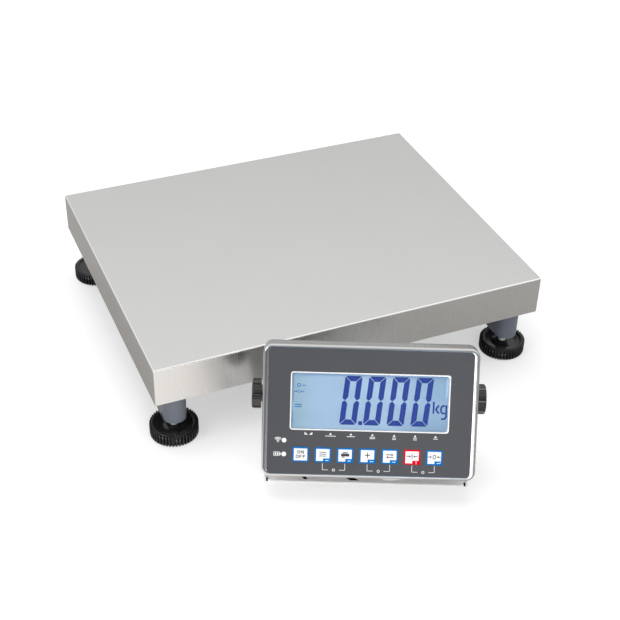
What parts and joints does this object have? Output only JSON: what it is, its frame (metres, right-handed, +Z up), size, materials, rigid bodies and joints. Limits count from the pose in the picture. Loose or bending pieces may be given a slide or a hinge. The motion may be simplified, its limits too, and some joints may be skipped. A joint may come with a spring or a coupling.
{
  "type": "platform scale",
  "caption": "Bench platform scale with a weighing plate on a single-point load cell frame, levelling feet, and a tilting indicator on its own stand.",
  "frame": {"origin": "centre of the weighing surface, on the plate's top face", "axes": "+X to the platform's right, +Y to its back, +Z up, seen from the side the indicator stands on"},
  "size_m": [0.502, 0.6104, 0.1647],
  "materials": {
    "stainless": "brushed",
    "frame_paint": "satin",
    "zinc": "satin",
    "fastener": "satin",
    "foot_black": "satin",
    "black_rubber": "matte",
    "black_plastic": "satin",
    "cell_aluminium": "satin",
    "level_plastic": "clear",
    "level_metal": "satin",
    "overlay_grey": "satin",
    "window": "clear",
    "lcd": "gloss",
    "backlight_white": "satin",
    "board_green": "satin",
    "battery_grey": "matte",
    "lamp": "clear",
    "key_blue": "satin",
    "key_red": "satin",
    "nylon_grey": "satin",
    "bush_brass": "satin"
  },
  "bodies": {
    "base": {"base_rail_left": "frame_paint", "base_rail_right": "frame_paint", "base_channel": "frame_paint", "leg_front_left": "frame_paint", "leg_front_right": "frame_paint", "leg_back_left": "frame_paint", "leg_back_right": "frame_paint", "load_cell": "cell_aluminium", "load_cell_base_spacer": "zinc", "load_cell_base_bolts": "fastener", "overload_stop_bolts": "fastener", "overload_stop_nuts": "fastener", "level_body": "level_metal", "level_vial": "level_plastic", "platform_cable_gland": "nylon_grey"},
    "upper_frame": {"upper_arm_left": "frame_paint", "upper_arm_right": "frame_paint", "arm_end_caps": "black_plastic", "upper_channel": "frame_paint", "plate_buffers": "black_rubber", "load_cell_top_spacer": "zinc", "load_cell_top_bolts": "fastener"},
    "plate": {"weighing_plate": "stainless"},
    "stud_front_left": {"foot_stud_front_left": "zinc"},
    "foot_front_left": {"foot_disc_front_left": "foot_black"},
    "stud_front_right": {"foot_stud_front_right": "zinc"},
    "foot_front_right": {"foot_disc_front_right": "foot_black"},
    "stud_back_left": {"foot_stud_back_left": "zinc"},
    "foot_back_left": {"foot_disc_back_left": "foot_black"},
    "stud_back_right": {"foot_stud_back_right": "zinc"},
    "foot_back_right": {"foot_disc_back_right": "foot_black"},
    "stand": {"stand_bracket": "stainless"},
    "head": {"front_shell": "stainless", "rear_cover": "stainless", "housing_gasket": "black_rubber", "front_overlay": "overlay_grey", "display_window": "window", "lcd_module": "lcd", "backlight": "backlight_white", "main_board": "board_green", "board_standoffs": "bush_brass", "keypad_board": "board_green", "battery_pack": "battery_grey", "status_lamps": "lamp", "cover_screws": "fastener", "cable_glands": "nylon_grey", "friction_washers": "black_rubber", "pivot_bushes": "bush_brass", "knob_washers": "fastener"},
    "clamp_stud_left": {"knob_stud_left": "fastener"},
    "clamp_knob_left": {"knob_left": "black_plastic"},
    "clamp_stud_right": {"knob_stud_right": "fastener"},
    "clamp_knob_right": {"knob_right": "black_plastic"},
    "key_on_off": {"key_on_off": "key_blue"},
    "key_gross": {"key_gross": "key_blue"},
    "key_print": {"key_print": "key_blue"},
    "key_add": {"key_add": "key_blue"},
    "key_recall": {"key_recall": "key_blue"},
    "key_tare": {"key_tare": "key_red"},
    "key_zero": {"key_zero": "key_blue"}
  },
  "joints": [
    {"name": "weighing_travel", "type": "slide", "parent": "base", "child": "upper_frame", "axis": [0, 0, 1], "range_m": [-0.0005, 0], "stiffness_N_per_m": 1500000, "springref_m": 0.00004, "deforming": ["load_cell"]},
    {"name": "plate_lift", "type": "slide", "parent": "upper_frame", "child": "plate", "axis": [0, 0, 1], "range_m": [0, 0.1]},
    {"name": "foot_travel_front_left", "type": "slide", "parent": "base", "child": "stud_front_left", "axis": [0, 0, 1], "range_m": [-0.0031, 0.0101]},
    {"name": "foot_turn_front_left", "type": "hinge", "parent": "stud_front_left", "child": "foot_front_left", "pos_m": [-0.222, -0.174, -0.119], "axis": [0, 0, 1], "range_deg": [-720, 2400]},
    {"name": "foot_travel_front_right", "type": "slide", "parent": "base", "child": "stud_front_right", "axis": [0, 0, 1], "range_m": [-0.0031, 0.0101]},
    {"name": "foot_turn_front_right", "type": "hinge", "parent": "stud_front_right", "child": "foot_front_right", "pos_m": [0.222, -0.174, -0.119], "axis": [0, 0, 1], "range_deg": [-720, 2400]},
    {"name": "foot_travel_back_left", "type": "slide", "parent": "base", "child": "stud_back_left", "axis": [0, 0, 1], "range_m": [-0.0031, 0.0101]},
    {"name": "foot_turn_back_left", "type": "hinge", "parent": "stud_back_left", "child": "foot_back_left", "pos_m": [-0.222, 0.174, -0.119], "axis": [0, 0, 1], "range_deg": [-720, 2400]},
    {"name": "foot_travel_back_right", "type": "slide", "parent": "base", "child": "stud_back_right", "axis": [0, 0, 1], "range_m": [-0.0031, 0.0101]},
    {"name": "foot_turn_back_right", "type": "hinge", "parent": "stud_back_right", "child": "foot_back_right", "pos_m": [0.222, 0.174, -0.119], "axis": [0, 0, 1], "range_deg": [-720, 2400]},
    {"name": "stand_lift", "type": "slide", "parent": "base", "child": "stand", "axis": [0, 0, 1], "range_m": [0, 0.1]},
    {"name": "head_tilt", "type": "hinge", "parent": "stand", "child": "head", "pos_m": [-0.0274, -0.2915, -0.0317], "axis": [0.915, -0.4035, 0], "range_deg": [-20, 20]},
    {"name": "clamp_travel_left", "type": "slide", "parent": "head", "child": "clamp_stud_left", "axis": [-0.915, 0.4035, 0], "range_m": [0, 0.00151]},
    {"name": "clamp_turn_left", "type": "hinge", "parent": "clamp_stud_left", "child": "clamp_knob_left", "pos_m": [-0.0274, -0.2915, -0.0317], "axis": [-0.915, 0.4035, 0], "range_deg": [0, 540]},
    {"name": "clamp_travel_right", "type": "slide", "parent": "head", "child": "clamp_stud_right", "axis": [0.915, -0.4035, 0], "range_m": [0, 0.00151]},
    {"name": "clamp_turn_right", "type": "hinge", "parent": "clamp_stud_right", "child": "clamp_knob_right", "pos_m": [-0.0274, -0.2915, -0.0317], "axis": [0.915, -0.4035, 0], "range_deg": [0, 540]},
    {"name": "press_on_off", "type": "slide", "parent": "head", "child": "key_on_off", "axis": [0.357, 0.8094, -0.4664], "range_m": [0, 0.0004], "stiffness_N_per_m": 6000, "springref_m": -0.0003},
    {"name": "press_gross", "type": "slide", "parent": "head", "child": "key_gross", "axis": [0.357, 0.8094, -0.4664], "range_m": [0, 0.0004], "stiffness_N_per_m": 6000, "springref_m": -0.0003},
    {"name": "press_print", "type": "slide", "parent": "head", "child": "key_print", "axis": [0.357, 0.8094, -0.4664], "range_m": [0, 0.0004], "stiffness_N_per_m": 6000, "springref_m": -0.0003},
    {"name": "press_add", "type": "slide", "parent": "head", "child": "key_add", "axis": [0.357, 0.8094, -0.4664], "range_m": [0, 0.0004], "stiffness_N_per_m": 6000, "springref_m": -0.0003},
    {"name": "press_recall", "type": "slide", "parent": "head", "child": "key_recall", "axis": [0.357, 0.8094, -0.4664], "range_m": [0, 0.0004], "stiffness_N_per_m": 6000, "springref_m": -0.0003},
    {"name": "press_tare", "type": "slide", "parent": "head", "child": "key_tare", "axis": [0.357, 0.8094, -0.4664], "range_m": [0, 0.0004], "stiffness_N_per_m": 6000, "springref_m": -0.0003},
    {"name": "press_zero", "type": "slide", "parent": "head", "child": "key_zero", "axis": [0.357, 0.8094, -0.4664], "range_m": [0, 0.0004], "stiffness_N_per_m": 6000, "springref_m": -0.0003}
  ],
  "couplings": [
    {"joint": "foot_travel_front_left", "follows": "foot_turn_front_left", "m_per_rad": 0.00023873},
    {"joint": "foot_travel_front_right", "follows": "foot_turn_front_right", "m_per_rad": 0.00023873},
    {"joint": "foot_travel_back_left", "follows": "foot_turn_back_left", "m_per_rad": 0.00023873},
    {"joint": "foot_travel_back_right", "follows": "foot_turn_back_right", "m_per_rad": 0.00023873},
    {"joint": "clamp_travel_left", "follows": "clamp_turn_left", "m_per_rad": 0.00015915},
    {"joint": "clamp_travel_right", "follows": "clamp_turn_right", "m_per_rad": 0.00015915}
  ]
}
